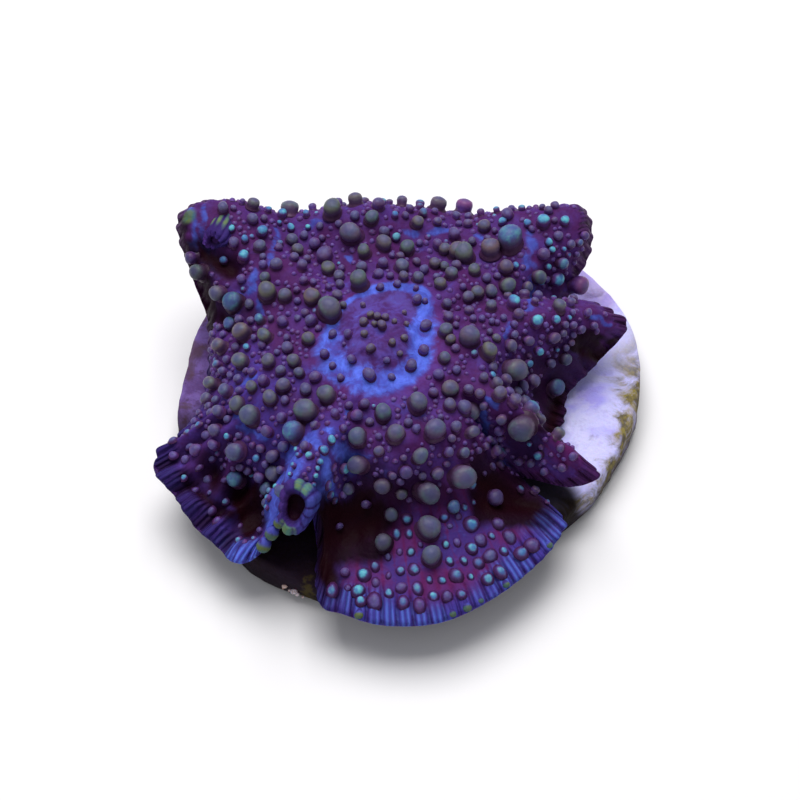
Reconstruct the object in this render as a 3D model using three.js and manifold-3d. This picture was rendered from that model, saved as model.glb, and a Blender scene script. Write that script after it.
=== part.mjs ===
// Mushroom coral (a Rhodactis-type polyp) grown onto a round frag disc.
// Millimetres, +Z up. The origin is the centre of the disc's flat underside.
import * as THREE from 'three';
import { mergeVertices } from 'three/addons/utils/BufferGeometryUtils.js';
import Module from 'manifold-3d';

// ---- Driving dimensions ----
const DISC_RADIUS = 16; // mean radius of the frag disc, 32 mm across
const DISC_THICKNESS = 3;
const DISC_EDGE = 0.5; // rounding of the disc's worn rim
const MOUTH = new THREE.Vector2(-1.7, -0.8); // the mouth stands a little off the disc's centre
const MOUTH_HEIGHT = 8.2; // heights of the polyp are measured from the disc's top face
const RING_HEIGHT = 7.5; // the shallow bare ring around the mouth
const RING_RADIUS = 3.9;
const FOOT_RADIUS = 9.8; // the broad foot that grips the disc
const FLESH = 0.9; // thickness of the polyp's lobes
const CLEARANCE = 0.15; // gap between a low lobe and the disc under it

// ---- Resolution ----
const DISC_STEPS = 56;
const AROUND = 100; // steps around the polyp
const OVER = 15; // rows of the oral skin, from the mouth to the margin

// The disc's outline swells (+) or is chipped (-) by these amounts: [bearing, change, half-width].
const DISC_SWELLS = [
  [25, 0.9, 28],
  [168, -0.35, 22],
  [232, 0.75, 24],
  [280, -0.2, 30],
  [318, -1.3, 27],
];

// The lobed outline of the polyp, station by station around the mouth. Each row is
// [bearing, shoulder height, crest reach, crest height, margin reach, margin height].
const STATIONS = [
  // spike pointing right
  [13, 6.8, 15.0, 4.9, 17.4, 3.4],
  [20, 6.7, 13.8, 5.2, 15.6, 3.9],
  [27, 6.2, 13.0, 4.2, 14.6, 2.8],
  // raised rounded ear at the back right
  [33, 6.6, 16.2, 6.2, 17.4, 4.6],
  [40, 7.0, 16.9, 7.4, 18.5, 5.8],
  [50, 6.7, 14.4, 6.9, 16.2, 5.0],
  // straight back edge, draped over behind
  [62, 6.6, 12.0, 6.2, 14.4, 4.4],
  [76, 7.0, 11.2, 7.0, 13.4, 4.4],
  [92, 7.4, 10.8, 7.6, 12.8, 4.4],
  [108, 7.0, 11.2, 7.4, 13.2, 4.6],
  [122, 6.6, 12.4, 7.0, 14.4, 4.8],
  // horn at the back left
  [134, 7.2, 15.2, 7.9, 16.8, 6.6],
  [143, 7.2, 16.2, 7.8, 17.7, 6.6],
  [151, 6.8, 14.2, 6.4, 15.2, 5.0],
  // drawn-in left side
  [160, 6.5, 11.8, 5.2, 12.8, 3.2],
  [172, 6.3, 11.0, 4.4, 12.0, 2.0],
  [186, 6.0, 11.2, 3.6, 12.4, 1.2],
  [196, 5.9, 12.4, 3.0, 14.2, 1.6],
  // left flap
  [203, 5.8, 13.2, 2.8, 16.6, 1.8],
  [212, 5.6, 13.0, 2.4, 16.2, 1.3],
  [221, 5.6, 12.4, 2.2, 16.3, 0.9],
  [228, 5.6, 11.8, 2.2, 16.2, 0.8],
  // front horn, a high ridge with its cheeks hanging down
  [234, 6.1, 12.0, 3.1, 16.4, 0.8],
  [238.5, 6.9, 11.6, 5.2, 15.3, 1.5],
  [245, 7.3, 11.0, 6.4, 11.9, 5.0],
  [251, 7.0, 10.6, 5.2, 13.0, 1.6],
  [256, 6.3, 10.2, 2.8, 16.6, 0.7],
  // wide flap lying over the disc's front edge
  [262, 6.0, 11.2, 2.0, 17.2, 0.7],
  [271, 6.0, 11.6, 2.2, 17.8, 0.6],
  [283, 6.0, 11.6, 2.3, 18.0, 0.6],
  [296, 5.9, 11.6, 2.3, 17.4, 0.6],
  [309, 5.8, 11.6, 2.2, 16.8, 0.7],
  [317, 5.8, 11.0, 2.2, 16.3, 0.7],
  // tongue at the front right
  [321, 5.9, 10.2, 2.2, 15.6, 0.6],
  [324, 6.0, 9.2, 2.4, 11.6, 0.8],
  [327.5, 6.2, 12.2, 3.2, 15.0, 1.8],
  [331.5, 6.4, 13.8, 4.3, 16.5, 3.1],
  // low right side
  [336, 6.4, 11.6, 4.0, 13.4, 2.0],
  [342, 6.4, 10.4, 3.6, 12.4, 1.4],
  [350, 6.4, 10.2, 3.0, 12.7, 0.8],
  [360, 6.5, 11.2, 3.0, 12.9, 0.8],
  [367, 6.7, 13.4, 3.9, 14.9, 1.7],
];

// The largest bubble-like vesicles: [bearing, reach, radius].
const VESICLES = [
  // on the right and towards the ear
  [359, 5.8, 0.85], [3, 4.4, 0.6], [353, 7, 0.55], [354, 8.9, 0.85], [358, 11.6, 0.7],
  [335, 10.4, 0.55], [329, 11, 0.9], [324, 7.4, 0.7], [321, 5.8, 0.6], [9, 10.7, 0.55],
  [43, 12.1, 0.9], [46, 10.4, 0.7], [52, 9.1, 0.85], [36, 10.1, 0.55], [29, 13.4, 0.6],
  // along the back
  [75, 9.7, 0.55], [88, 7.6, 0.55], [77, 5.8, 0.6], [103, 8.8, 0.75], [106, 4.8, 0.7],
  [107, 10.8, 0.6], [118, 12, 0.65], [72, 11.4, 0.55],
  // on the left
  [149, 4.3, 0.75], [154, 8.8, 0.6], [158, 10.6, 0.6], [154, 13.4, 0.6], [171, 9.2, 0.55],
  [174, 10.6, 0.55], [187, 11, 0.6], [209, 9.8, 0.6], [215, 11.3, 0.6], [219, 12.6, 0.6],
  // around the front
  [231, 8.4, 0.75], [228, 7, 0.7], [230, 5.5, 0.6], [262, 8.7, 0.7], [272, 9.6, 0.7],
  [273, 5.9, 0.6], [296, 7.7, 0.7], [302, 10, 0.9], [287, 9.9, 0.75], [285, 11.9, 0.8],
  [309, 11.9, 0.55], [284, 14, 0.6],
];
const VESICLE_STAND = 0.45; // how far a vesicle's centre stands above the skin, in radii

const wasm = await Module();
wasm.setup();

// A closed geometry as a solid that can be joined to others.
function solid(geometry) {
  const bare = geometry.clone();
  bare.deleteAttribute('normal');
  bare.deleteAttribute('uv');
  const welded = mergeVertices(bare);
  return new wasm.Manifold(new wasm.Mesh({
    numProp: 3,
    vertProperties: new Float32Array(welded.attributes.position.array),
    triVerts: new Uint32Array(welded.index.array),
  }));
}

// A joined solid as a geometry again.
function geometryOf(joined) {
  const mesh = joined.getMesh();
  const geometry = new THREE.BufferGeometry();
  geometry.setAttribute('position', new THREE.BufferAttribute(mesh.vertProperties, 3));
  geometry.setIndex(new THREE.BufferAttribute(mesh.triVerts, 1));
  geometry.computeVertexNormals();
  return geometry;
}

// ---- Frag disc: a flat round plug with a worn, uneven outline ----
function discRadius(bearing) {
  let radius = DISC_RADIUS - DISC_EDGE;
  for (const [centre, change, width] of DISC_SWELLS) {
    const away = (((bearing - centre + 540) % 360) - 180) / width;
    radius += change * Math.exp(-away * away);
  }
  return radius;
}

function discGeometry() {
  const outline = [];
  for (let i = 0; i < DISC_STEPS; i += 1) {
    const bearing = (360 * i) / DISC_STEPS;
    const angle = THREE.MathUtils.degToRad(bearing);
    const radius = discRadius(bearing);
    outline.push(new THREE.Vector2(radius * Math.cos(angle), radius * Math.sin(angle)));
  }
  const geometry = new THREE.ExtrudeGeometry(new THREE.Shape(outline), {
    depth: DISC_THICKNESS - 2 * DISC_EDGE,
    bevelThickness: DISC_EDGE,
    bevelSize: DISC_EDGE,
    bevelSegments: 2,
  });
  return geometry.translate(0, 0, DISC_EDGE);
}

// ---- Polyp ----
// A point at a bearing and reach from the mouth, at a height above the disc's top face.
function around(bearing, reach, height) {
  const angle = THREE.MathUtils.degToRad(bearing);
  return new THREE.Vector3(
    MOUTH.x + reach * Math.cos(angle),
    MOUTH.y + reach * Math.sin(angle),
    DISC_THICKNESS + height,
  );
}

// A smooth closed curve through one point per station.
function ringCurve(place) {
  return new THREE.CatmullRomCurve3(STATIONS.map(place), true, 'catmullrom', 0.5);
}

const mix = THREE.MathUtils.lerp;
const low = (height) => Math.max(CLEARANCE, height);

// Rings of the oral skin, from the mouth out to the margin.
const oralRings = [
  ringCurve(([b]) => around(b, 0.01, MOUTH_HEIGHT)),
  ringCurve(([b]) => around(b, 1.5, MOUTH_HEIGHT - 0.15)),
  ringCurve(([b]) => around(b, 0.72 * RING_RADIUS, RING_HEIGHT - 0.1)),
  ringCurve(([b, shoulder]) => around(b, 1.1 * RING_RADIUS, mix(RING_HEIGHT, shoulder, 0.25))),
  ringCurve(([b, shoulder]) => around(b, 6, mix(RING_HEIGHT, shoulder, 0.5) - 0.1)),
  ringCurve(([b, shoulder, reach]) => around(b, mix(3.4, reach, 0.62), shoulder)),
  ringCurve(([b, , reach, height]) => around(b, reach, height)),
  ringCurve(([b, , , , reach, height]) => around(b, reach, height)),
];

// Rings of the underside, from the margin in to the foot on the disc.
const undersideRings = [
  ringCurve(([b, , , , reach, height]) => around(b, reach - 0.3, low(height - 0.5 * FLESH))),
  ringCurve(([b, , crest, , reach, height]) => (
    around(b, mix(crest, reach, 0.6), low(height - 0.8 * FLESH)))),
  ringCurve(([b, , crest, height]) => (
    around(b, Math.min(0.92 * crest, FOOT_RADIUS + 1.2), low(height - 2 * FLESH)))),
  ringCurve(([b, , crest]) => around(b, Math.min(0.86 * crest, FOOT_RADIUS), 0)),
];

// A point of the oral skin: turn runs 0 to 1 around, over runs 0 to 1 from mouth to margin.
function skinPoint(turn, over) {
  const across = oralRings.map((ring) => ring.getPoint(turn));
  return new THREE.CatmullRomCurve3(across, false, 'catmullrom', 0.5).getPoint(over);
}

// The polyp without its vesicles: a sphere whose rows are laid along the rings.
function bodyGeometry() {
  const rows = OVER + undersideRings.length + 1;
  const geometry = new THREE.SphereGeometry(1, AROUND, rows);
  const position = geometry.attributes.position;
  const footCentre = around(0, 0, 0);
  for (let row = 0; row <= rows; row += 1) {
    for (let step = 0; step <= AROUND; step += 1) {
      const turn = (step % AROUND) / AROUND;
      let point = footCentre;
      if (row === 0) point = around(0, 0, MOUTH_HEIGHT);
      else if (row <= OVER) point = skinPoint(turn, row / OVER);
      else if (row < rows) point = undersideRings[row - OVER - 1].getPoint(turn);
      position.setXYZ(row * (AROUND + 1) + step, point.x, point.y, point.z);
    }
  }
  return geometry;
}

// The turn at which the skin lies at a bearing, between the two stations around it.
function turnAt(bearing) {
  const count = STATIONS.length;
  const wanted = bearing < STATIONS[0][0] ? bearing + 360 : bearing;
  let index = 0;
  while (index < count - 1 && STATIONS[index + 1][0] <= wanted) index += 1;
  const from = STATIONS[index][0];
  const to = index < count - 1 ? STATIONS[index + 1][0] : STATIONS[0][0] + 360;
  return (index + (wanted - from) / (to - from)) / count;
}

// The outermost skin point that is no farther than a reach from the mouth.
function overAt(turn, reach) {
  let over = 0;
  const step = 0.005;
  while (over < 1) {
    const point = skinPoint(turn, over + step);
    if (Math.hypot(point.x - MOUTH.x, point.y - MOUTH.y) > reach) break;
    over += step;
  }
  return over;
}

// One vesicle: a small ball pushed out of the skin along its normal.
function vesicleGeometry([bearing, reach, radius]) {
  const turn = turnAt(bearing);
  const over = overAt(turn, reach);
  const centre = skinPoint(turn, over);
  const along = skinPoint((turn + 0.004) % 1, over).sub(centre);
  const outward = skinPoint(turn, Math.min(1, over + 0.02)).sub(centre);
  const normal = outward.cross(along).normalize();
  centre.addScaledVector(normal, VESICLE_STAND * radius);
  return new THREE.IcosahedronGeometry(radius, 1).translate(centre.x, centre.y, centre.z);
}

let polypSolid = solid(bodyGeometry());
for (const vesicle of VESICLES) {
  polypSolid = polypSolid.add(solid(vesicleGeometry(vesicle)));
}

// ---- The object ----
const coral = new THREE.Group();

const disc = new THREE.Mesh(
  discGeometry(),
  new THREE.MeshStandardMaterial({ color: 0x8f86c4, roughness: 0.9, metalness: 0 }),
);
disc.name = 'frag_disc';
coral.add(disc);

const polyp = new THREE.Mesh(
  geometryOf(polypSolid),
  new THREE.MeshStandardMaterial({ color: 0x4a3378, roughness: 0.45, metalness: 0 }),
);
polyp.name = 'polyp';
coral.add(polyp);

export default coral;
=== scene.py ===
# A mushroom coral grown onto a round frag disc, on a plain pale floor.
# Metres, +Z up; the shapes below are worked out in millimetres and scaled once, when a mesh is made.
import math
import random

import bmesh
import bpy
import numpy as np
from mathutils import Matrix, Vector, noise


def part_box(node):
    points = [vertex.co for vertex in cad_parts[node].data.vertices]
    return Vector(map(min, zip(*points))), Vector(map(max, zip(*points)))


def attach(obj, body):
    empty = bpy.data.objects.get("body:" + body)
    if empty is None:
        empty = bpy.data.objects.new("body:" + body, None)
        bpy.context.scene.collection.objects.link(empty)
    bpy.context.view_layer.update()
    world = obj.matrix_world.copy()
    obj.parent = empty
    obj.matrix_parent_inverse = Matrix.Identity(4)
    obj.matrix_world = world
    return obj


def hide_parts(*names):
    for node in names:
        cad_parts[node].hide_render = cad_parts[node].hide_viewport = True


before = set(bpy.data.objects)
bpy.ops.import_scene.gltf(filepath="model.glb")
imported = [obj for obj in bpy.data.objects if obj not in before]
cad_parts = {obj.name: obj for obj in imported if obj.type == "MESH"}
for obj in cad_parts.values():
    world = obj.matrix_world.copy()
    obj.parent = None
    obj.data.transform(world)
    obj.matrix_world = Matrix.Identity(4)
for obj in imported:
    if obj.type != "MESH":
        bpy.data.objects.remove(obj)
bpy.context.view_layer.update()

MM = 0.001


# ---- Studio ----
# A pale floor under the disc, one broad lamp overhead as over a reef tank, a weaker one from the side,
# and a long lens looking down at the coral from the front.
CAMERA_ELEVATION = math.radians(57)
CAMERA_DISTANCE = 153.3 * MM
LENS = 100.0
aim = Vector((-0.43, -1.11, 3.29)) * MM


def added(name, data):
    """A new object in the scene that shows this data."""
    made = bpy.data.objects.new(name, data)
    bpy.context.collection.objects.link(made)
    return made


floor_mesh = bpy.data.meshes.new("floor")
floor_bm = bmesh.new()
bmesh.ops.create_grid(floor_bm, x_segments=1, y_segments=1, size=3.0)
floor_bm.to_mesh(floor_mesh)
floor_bm.free()
floor = added("floor", floor_mesh)
floor_paint = bpy.data.materials.new("pale floor")
floor_paint.use_nodes = True
floor_shader = floor_paint.node_tree.nodes["Principled BSDF"]
floor_shader.inputs["Base Color"].default_value = (0.86, 0.86, 0.87, 1)
floor_shader.inputs["Roughness"].default_value = 0.8
floor.data.materials.append(floor_paint)


def lamp(name, place, size, power, colour):
    """A square area lamp that looks at the coral."""
    light = bpy.data.lights.new(name, "AREA")
    light.size = size
    light.energy = power
    light.color = colour
    holder = added(name, light)
    holder.location = place
    holder.rotation_euler = (aim - Vector(place)).to_track_quat("-Z", "Y").to_euler()


lamp("overhead lamp", place=(-0.03, 0.17, 0.38), size=0.32, power=2.05, colour=(1.0, 0.98, 0.98))
lamp("side lamp", place=(-0.30, -0.30, 0.30), size=0.25, power=0.10, colour=(0.95, 0.97, 1.0))

world = bpy.data.worlds.new("studio")
world.use_nodes = True
world.node_tree.nodes["Background"].inputs["Color"].default_value = (0.95, 0.96, 1.0, 1)
world.node_tree.nodes["Background"].inputs["Strength"].default_value = 0.34
bpy.context.scene.world = world
bpy.context.scene.view_settings.view_transform = "Standard"

camera_data = bpy.data.cameras.new("camera")
camera_data.lens = LENS
camera_data.clip_start = 0.01
camera = added("camera", camera_data)
backwards = Vector((0, -math.cos(CAMERA_ELEVATION), math.sin(CAMERA_ELEVATION)))
camera.location = aim + backwards * CAMERA_DISTANCE
camera.rotation_euler = (-backwards).to_track_quat("-Z", "Y").to_euler()
bpy.context.scene.camera = camera


# ---- Frag disc ----
# The plug disc that the coral was grown on: fired ceramic, flat above and below with a worn rim,
# skinned over with lilac coralline crust, a brown film, and olive algae along its right side. Painted
# shade darkens its front-left rim, the patch under the tongue and the lower part of its side.
_, disc_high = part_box("frag_disc")
TOP = disc_high.z / MM
DISC_RADIUS = 16
# where the rim swells or is chipped: bearing, change, half width
DISC_SWELLS = ((25, 0.9, 28), (168, -0.35, 22), (232, 0.75, 24), (280, -0.2, 30), (318, -1.3, 27))


def operator(operation):
    """An arithmetic operator of sockets: its plain form and its reflected form."""
    return (lambda self, other: self.maths(operation, self, other),
            lambda self, other: self.maths(operation, other, self))


class Socket:
    """A node's output that can be added, multiplied and so on, like a number."""

    __add__, __radd__ = operator("ADD")
    __sub__, __rsub__ = operator("SUBTRACT")
    __mul__, __rmul__ = operator("MULTIPLY")
    __truediv__, __rtruediv__ = operator("DIVIDE")
    __pow__, __rpow__ = operator("POWER")

    def __init__(self, finish, link):
        self.finish = finish
        self.link = link

    def maths(self, operation, *values):
        return self.finish.node("ShaderNodeMath", {"operation": operation}, *values)

    def clamped(self):
        return self.finish.node("ShaderNodeClamp", {}, self, 0.0, 1.0)

    def step(self, low, high):
        """0 below low, 1 above high, with a smooth rise between them."""
        return self.finish.node(
            "ShaderNodeMapRange", {"interpolation_type": "SMOOTHSTEP"}, self, low, high, 0.0, 1.0
        )


class Finish:
    """A material whose nodes are added one by one."""

    def __init__(self, name, **constants):
        self.material = bpy.data.materials.new(name)
        self.material.use_nodes = True
        self.tree = self.material.node_tree
        self.shader = self.tree.nodes["Principled BSDF"]
        for socket, value in constants.items():
            self.shader.inputs[socket.replace("_", " ")].default_value = value

    def node(self, kind, settings, *values, out=0, **named):
        """One node: its settings first, then values or links for its sockets, in order or by name."""
        made = self.tree.nodes.new(kind)
        for key, value in settings.items():
            setattr(made, key, value)
        for socket, value in (*enumerate(values), *named.items()):
            self.feed(made.inputs[socket], value)
        return Socket(self, made.outputs[out])

    def feed(self, socket, value):
        """Links or sets a socket; None leaves it as it is."""
        if isinstance(value, Socket):
            self.tree.links.new(value.link, socket)
        elif value is not None:
            socket.default_value = value

    def place(self):
        """The point that is being painted, in the object's own metres."""
        return self.node("ShaderNodeTexCoord", {}, out=3)

    def noise(self, scale, detail=3.0, roughness=0.55, distortion=0.0):
        """Soft cloudy values about 0.5; scale is in features per metre."""
        return self.node("ShaderNodeTexNoise", {}, out="Fac", Vector=self.place(), Scale=scale, Detail=detail,
                         Roughness=roughness, Distortion=distortion)

    def attribute(self, name):
        """A number that is stored at each vertex."""
        return self.node("ShaderNodeAttribute", {"attribute_name": name}, out=2)

    def mix(self, mask, *colours):
        """A colour that goes from the first to the second as mask goes from 0 to 1; a plain colour is
        given in 0 to 255 display values."""
        plain_numbers = (None,) * 5
        ends = (srgb(*colour) if isinstance(colour, tuple) else colour for colour in colours)
        return self.node("ShaderNodeMix", {"data_type": "RGBA"}, mask, *plain_numbers, *ends, out=2)

    def bump(self, height, distance, strength=1.0):
        bumped = self.node("ShaderNodeBump", {}, Strength=strength, Distance=distance, Height=height)
        self.set("Normal", bumped)

    def set(self, socket, value):
        self.feed(self.shader.inputs[socket], value)


def srgb(red, green, blue):
    """A colour given in 0 to 255 display values, as linear light."""
    def linear(value):
        value /= 255
        return value / 12.92 if value <= 0.04045 else ((value + 0.055) / 1.055) ** 2.4
    return (linear(red), linear(green), linear(blue), 1)


def laid_ball(turns, rows, place):
    """A ball of turns by rows whose vertices are laid at place(turn, row), both from 0 to 1."""
    bm = bmesh.new()
    bmesh.ops.create_uvsphere(bm, u_segments=turns, v_segments=rows, radius=1)
    unit = np.array([v.co for v in bm.verts])
    row = np.round(np.arccos(np.clip(unit[:, 2], -1, 1)) / math.pi * rows) / rows
    turn = np.round((np.arctan2(unit[:, 1], unit[:, 0]) / (2 * math.pi) % 1) * turns) / turns % 1
    laid = place(turn, row)
    for vert, point in zip(bm.verts, laid):
        vert.co = point
    bmesh.ops.recalc_face_normals(bm, faces=bm.faces[:])
    return bm, turn, row


def shown(mesh, material, node):
    """A mesh as a smooth, painted piece of the one body, standing for a CAD node."""
    mesh.shade_smooth()
    mesh.materials.append(material)
    piece = added(mesh.name, mesh)
    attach(piece, "root")
    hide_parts(node)


def finished(bm, name, material, node):
    """Shows a closed bmesh in millimetres, and gives back its mesh."""
    bmesh.ops.scale(bm, vec=(MM, MM, MM), verts=bm.verts[:])
    mesh = bpy.data.meshes.new(name)
    bm.to_mesh(mesh)
    bm.free()
    shown(mesh, material, node)
    return mesh


def store(mesh, name, values):
    """One number per vertex, for a material to read."""
    mesh.attributes.new(name, "FLOAT", "POINT").data.foreach_set("value", np.asarray(values, np.float32))


def rough(points, scale, seed):
    """Smooth noise from about -1 to 1 at each point; scale is the size of its lumps in millimetres."""
    shift = Vector((seed * 17.3, seed * 5.1, seed * 9.7))
    return np.array([noise.noise(Vector(p) / scale + shift) for p in points])


def follow(stops, at, period=None):
    """What the columns of a table of stops say between them; the first column is where each stop is."""
    places, *columns = zip(*stops)
    return [np.interp(at, places, column, period=period) for column in columns]


def turned(turn, reach, height):
    """Points around an upright axis."""
    angle = turn * 2 * math.pi
    return np.stack([reach * np.cos(angle), reach * np.sin(angle), height], 1)


def disc_radius(bearing):
    radius = np.full_like(bearing, DISC_RADIUS)
    for centre, change, width in DISC_SWELLS:
        away = ((bearing - centre + 180) % 360 - 180) / width
        radius += change * np.exp(-away * away)
    return radius


# from the middle of the top to the middle of the underside: row, share of the radius, inset, height
DISC_STOPS = (
    (0, 0, 0, TOP), (0.44, 1, 0.9, TOP), (0.48, 1, 0.45, TOP - 0.06), (0.52, 1, 0.12, TOP - 0.35),
    (0.56, 1, 0, TOP - 0.8), (0.66, 1, 0, 0.7), (0.70, 1, 0.15, 0.25), (0.74, 1, 0.6, 0), (1, 0, 0, 0),
)


def disc_place(turn, row):
    """From the middle of the top face out over the worn rim, down the side and in under the disc."""
    full = disc_radius(turn * 360)
    share, inset, height = follow(DISC_STOPS, row)
    reach = full * share - inset
    points = turned(turn, reach, height)
    # worn lumps and pits on the top and the side; the underside stays flat
    wear = np.clip(height / 0.6, 0, 1)
    lumps = 0.16 * rough(points, 3.0, 1) + 0.08 * rough(points, 0.9, 2) + 0.04 * rough(points, 0.35, 3)
    side = np.clip((reach - 0.9 * full) / (0.1 * full), 0, 1)
    outward = 1 + side * (lumps + 0.25 * rough(points, 5.0, 4)) / full
    points[:, :2] *= np.where(row < 0.8, outward, 1)[:, None]
    top_face = np.clip((TOP - 0.2 - height) / -0.2, 0, 1)
    points[:, 2] += wear * top_face * (lumps - 0.14)
    return points


crust = Finish("crusted ceramic", Subsurface_Weight=0.05, Subsurface_Scale=0.0008, Specular_IOR_Level=0.08)
across, away, height = (
    crust.node("ShaderNodeSeparateXYZ", {}, crust.place(), out=axis) for axis in range(3))


def from_spot(x, y):
    """How far the painted point lies from a spot, seen from above."""
    return ((across - x) * (across - x) + (away - y) * (away - y)) ** 0.5


blotch = crust.noise(210, 2, 0.5, 0.5)
cloud = crust.noise(420, 5, 0.65, 1.0)
fine = crust.noise(1900, 4, 0.65)
lilac = crust.mix(cloud.step(0.38, 0.62), (176, 170, 255), (204, 202, 255))
lilac = crust.mix(blotch.step(0.46, 0.62) * 0.7, lilac, (216, 216, 255))
lilac = crust.mix((1 - blotch.step(0.34, 0.48)) * 0.6, lilac, (172, 148, 208))
lilac = crust.mix(fine.step(0.5, 0.72) * 0.25, lilac, (142, 124, 200))
shaded = crust.mix(cloud.step(0.36, 0.6), (92, 66, 122), (118, 94, 162))
shaded = crust.mix(fine.step(0.5, 0.7) * 0.7, shaded, (76, 54, 84))
right_side = (across + (blotch - 0.5) * 0.006).step(-0.002, 0.004)
film_and_painted_shade = crust.mix(right_side, shaded, lilac)
brown = crust.noise(300, 4, 0.6, 0.6) - 0.06 * right_side
film_and_painted_shade = crust.mix(brown.step(0.52, 0.62) * (0.7 - 0.3 * right_side), film_and_painted_shade, (84, 62, 66))
rim = (from_spot(0, 0) + (cloud - 0.5) * 0.005).step(0.0136, 0.0152)
lower_right = (across - away + (blotch - 0.5) * 0.008).step(0.0100, 0.0165)
olive = crust.mix(fine.step(0.4, 0.62), (84, 74, 32), (134, 120, 30))
film_and_painted_shade = crust.mix(rim * lower_right * (cloud * 4.4 - 1.5).clamped() * 0.95, film_and_painted_shade, olive)
# Painted shade: the disc's front-left rim, under the front horn and the left flap, is painted near black.
front_left_painted_shade = (0 - 0.55 * across - away + (blotch - 0.5) * 0.006).step(0.0085, 0.0125)
film_and_painted_shade = crust.mix(front_left_painted_shade * 0.96, film_and_painted_shade, (24, 11, 16))
# Painted shade: a near-black patch on the disc where the tongue overhangs it.
under_tongue_painted_shade = 1 - (from_spot(0.0085, -0.0100) + (blotch - 0.5) * 0.002).step(0.0030, 0.0042)
film_and_painted_shade = crust.mix(under_tongue_painted_shade * 0.97, film_and_painted_shade, (20, 10, 14))
stain = 1 - (from_spot(-0.0066, -0.0152) + (fine - 0.5) * 0.002).step(0.0001, 0.0006)
# Painted shade: the lower part of the disc's side, next to the floor, is painted darker.
low_side_painted_shade = 1 - height.step(0.0006, 0.0024)
film_and_painted_shade = crust.mix(low_side_painted_shade * 0.8, film_and_painted_shade, (34, 26, 34))
film_and_painted_shade = crust.mix(stain * 0.5, film_and_painted_shade, (88, 78, 28))
crust.set("Base Color", film_and_painted_shade)
crust.set("Roughness", 0.62 + fine * 0.3)
crust.bump(cloud * 0.6 + fine * 0.4, 0.0004, 0.7)

disc_bm, _, _ = laid_ball(220, 90, disc_place)
finished(disc_bm, "frag_disc_crusted", crust.material, "frag_disc")


# ---- Polyp skin ----
# The coral itself: one soft body, a broad foot on the disc and a lobed, folded disc of flesh above it
# with the mouth in the middle. It is laid station by station around the mouth, as it grew.
MOUTH = (-1.7, -0.8)
MOUTH_HEIGHT = 8.2
RING_HEIGHT = 7.5
RING_RADIUS = 3.9
FOOT_RADIUS = 9.8
FLESH = 0.9
CLEARANCE = 0.15
THINNEST = 0.45
SOLE = 0.02
RIB_WIDTH = 1.05
# bearing, shoulder height, crest reach, crest height, margin reach, margin height
STATIONS = (
    # spike pointing right
    (13, 6.8, 15.0, 4.9, 17.4, 3.4), (20, 6.7, 13.8, 5.2, 15.6, 3.9), (27, 6.2, 13.0, 4.2, 14.6, 2.8),
    # raised ear at the back right
    (33, 6.6, 16.2, 6.2, 17.4, 4.6), (40, 7.0, 16.9, 7.4, 18.5, 5.8), (50, 6.7, 14.4, 6.9, 16.2, 5.0),
    # straight back edge
    (62, 6.6, 12.0, 6.2, 14.4, 4.4), (76, 7.0, 11.2, 7.0, 13.4, 4.4), (92, 7.4, 10.8, 7.6, 12.8, 4.4),
    (108, 7.0, 11.2, 7.4, 13.2, 4.6), (122, 6.6, 12.4, 7.0, 14.4, 4.8),
    # horn at the back left
    (134, 7.2, 15.2, 7.9, 16.8, 6.6), (143, 7.2, 16.2, 7.8, 17.7, 6.6), (151, 6.8, 14.2, 6.4, 15.2, 5.0),
    # drawn-in left side
    (160, 6.5, 11.8, 5.2, 12.8, 3.2), (172, 6.3, 11.0, 4.4, 12.0, 2.0), (186, 6.0, 11.2, 3.6, 12.4, 1.2),
    (196, 5.9, 12.4, 3.0, 14.2, 1.6),
    # left flap
    (203, 5.8, 13.2, 2.8, 16.6, 1.8), (212, 5.6, 13.0, 2.4, 16.2, 1.3), (221, 5.6, 12.4, 2.2, 16.3, 0.9),
    (228, 5.6, 11.8, 2.2, 16.2, 0.8),
    # front horn and its hanging cheeks
    (234, 6.1, 12.0, 3.1, 16.4, 0.8), (238.5, 6.9, 11.6, 5.2, 15.3, 1.5), (245, 7.3, 11.0, 6.4, 11.9, 5.0),
    (251, 7.0, 10.6, 5.2, 13.0, 1.6), (256, 6.3, 10.2, 2.8, 16.6, 0.7),
    # wide front flap
    (262, 6.0, 11.2, 2.0, 17.2, 0.7), (271, 6.0, 11.6, 2.2, 17.8, 0.6), (283, 6.0, 11.6, 2.3, 18.0, 0.6),
    (296, 5.9, 11.6, 2.3, 17.4, 0.6), (309, 5.8, 11.6, 2.2, 16.8, 0.7), (317, 5.8, 11.0, 2.2, 16.3, 0.7),
    # tongue at the front right
    (321, 5.9, 10.2, 2.2, 15.6, 0.6), (324, 6.0, 9.2, 2.4, 11.6, 0.8), (327.5, 6.2, 12.2, 3.2, 15.0, 1.8),
    (331.5, 6.4, 13.8, 4.3, 16.5, 3.1),
    # low right side
    (336, 6.4, 11.6, 4.0, 13.4, 2.0), (342, 6.4, 10.4, 3.6, 12.4, 1.4), (350, 6.4, 10.2, 3.0, 12.7, 0.8),
    (360, 6.5, 11.2, 3.0, 12.9, 0.8), (367, 6.7, 13.4, 3.9, 14.9, 1.7),
)
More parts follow.
